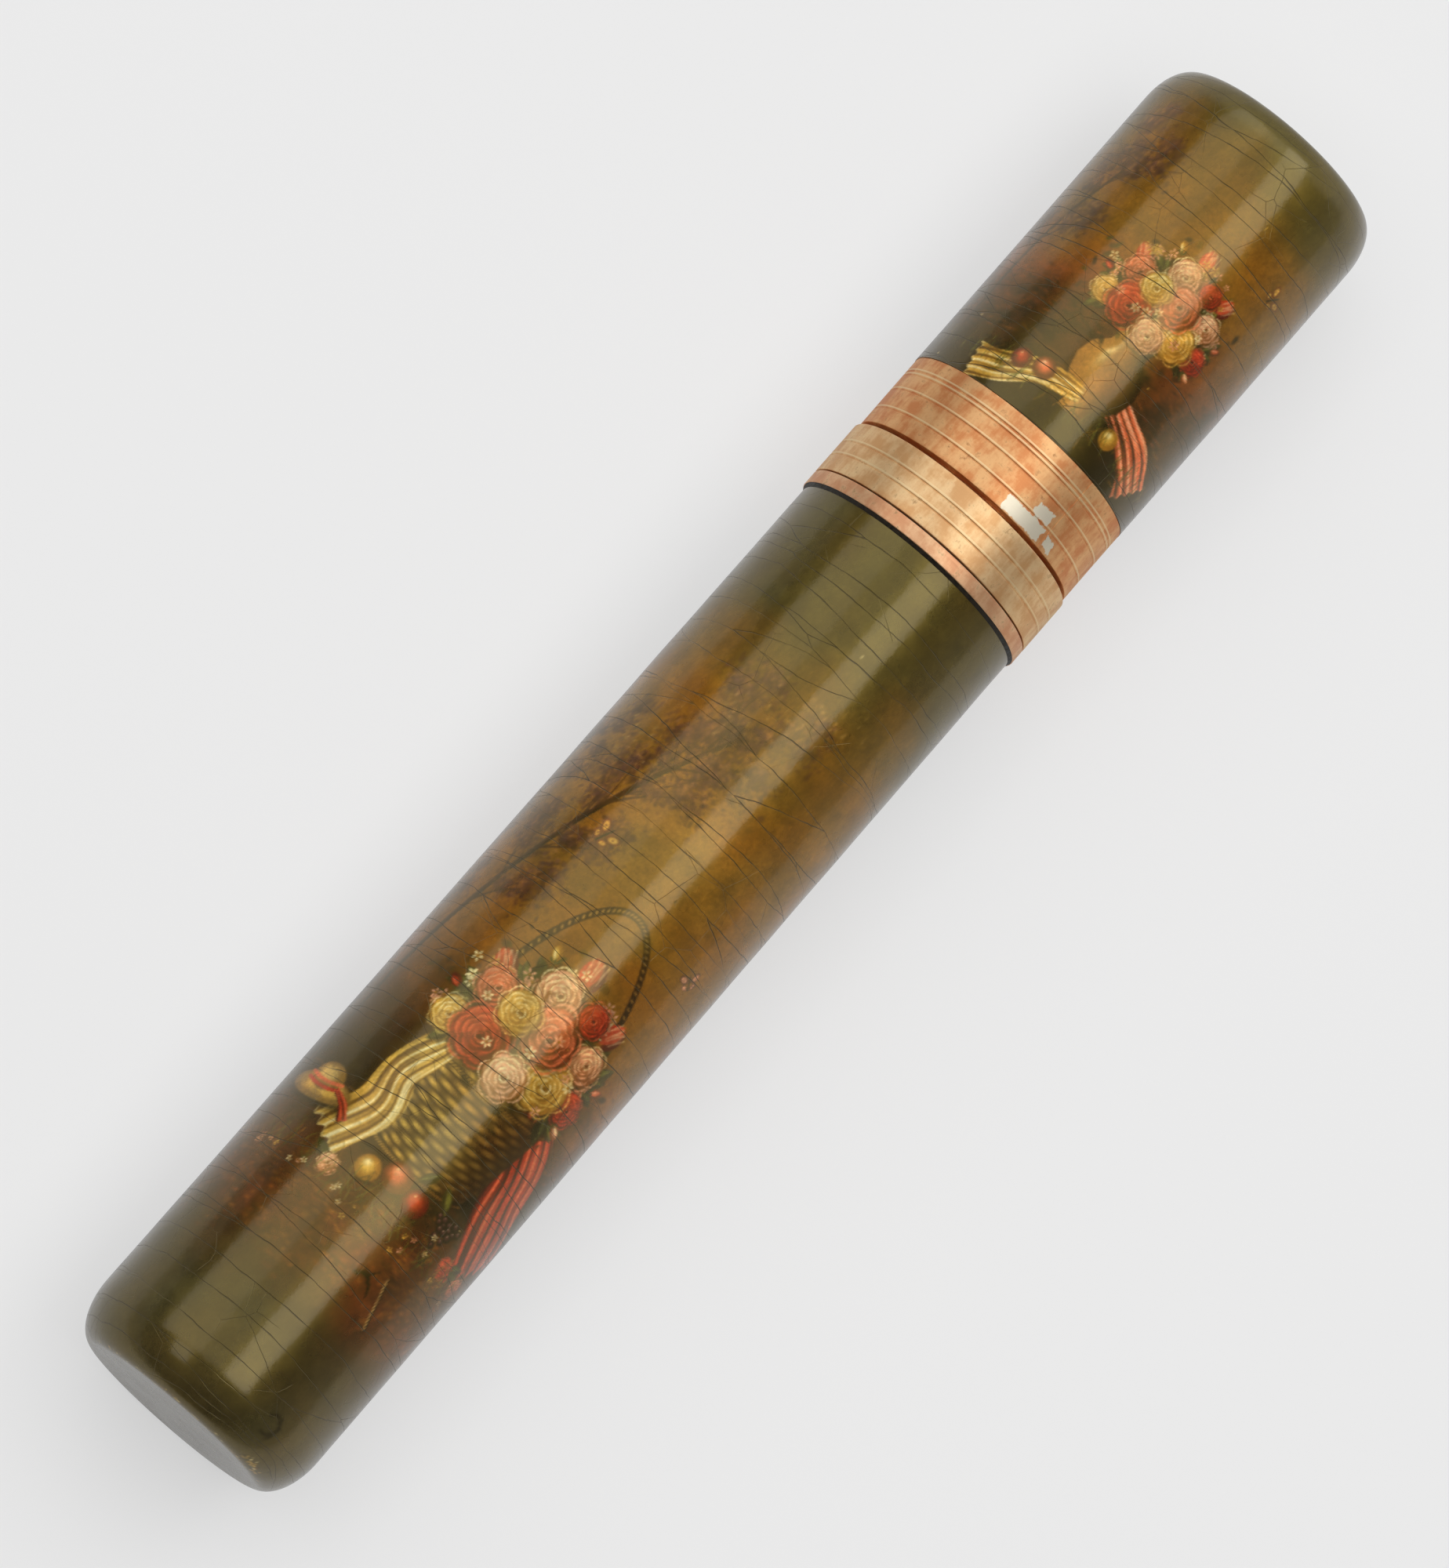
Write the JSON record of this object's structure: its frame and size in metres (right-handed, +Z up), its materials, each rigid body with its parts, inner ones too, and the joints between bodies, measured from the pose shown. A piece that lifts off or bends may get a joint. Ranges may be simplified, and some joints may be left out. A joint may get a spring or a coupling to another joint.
{
  "type": "etui",
  "caption": "Slender round lacquered case with a pull-off cap, copper-gold bands at the joint and an inner throat, for holding needles and bodkins.",
  "frame": {"origin": "centre of the case's footprint as it lies on its side, on the surface below the middle of its length", "axes": "+X along the case from its base to its cap, +Z up, +Y across"},
  "size_m": [0.135, 0.0218, 0.0218],
  "materials": {
    "body_lacquer": "amber and olive painted lacquer, glossy and finely cracked",
    "cap_lacquer": "amber and olive painted lacquer, glossy and finely cracked",
    "copper_gold": "copper-red gold, worn and tarnished",
    "throat_metal": "copper-red gold rubbed by the cap",
    "bedding": "black pitch mastic",
    "shell_lining": "polished dark tortoiseshell",
    "paper_board": "rolled and glued paper board",
    "plug_wood": "turned fruitwood"
  },
  "bodies": {
    "body": {"body_tube": "paper_board", "body_end_plug": "plug_wood", "body_lacquer": "body_lacquer", "body_lining": "shell_lining", "body_lining_floor": "shell_lining", "collar_bedding": "bedding", "collar_ring": "copper_gold", "throat_ring": "copper_gold", "throat_sleeve": "throat_metal"},
    "cap": {"cap_tube": "paper_board", "cap_end_plug": "plug_wood", "cap_lacquer": "cap_lacquer", "cap_lining": "shell_lining", "cap_lining_ceiling": "shell_lining", "cap_ring_bedding": "bedding", "cap_ring": "copper_gold", "cap_bezel": "throat_metal"}
  },
  "joints": [
    {"name": "cap_pull", "type": "slide", "parent": "body", "child": "cap", "axis": [1, 0, 0], "range_m": [-0.0004, 0.032]}
  ]
}
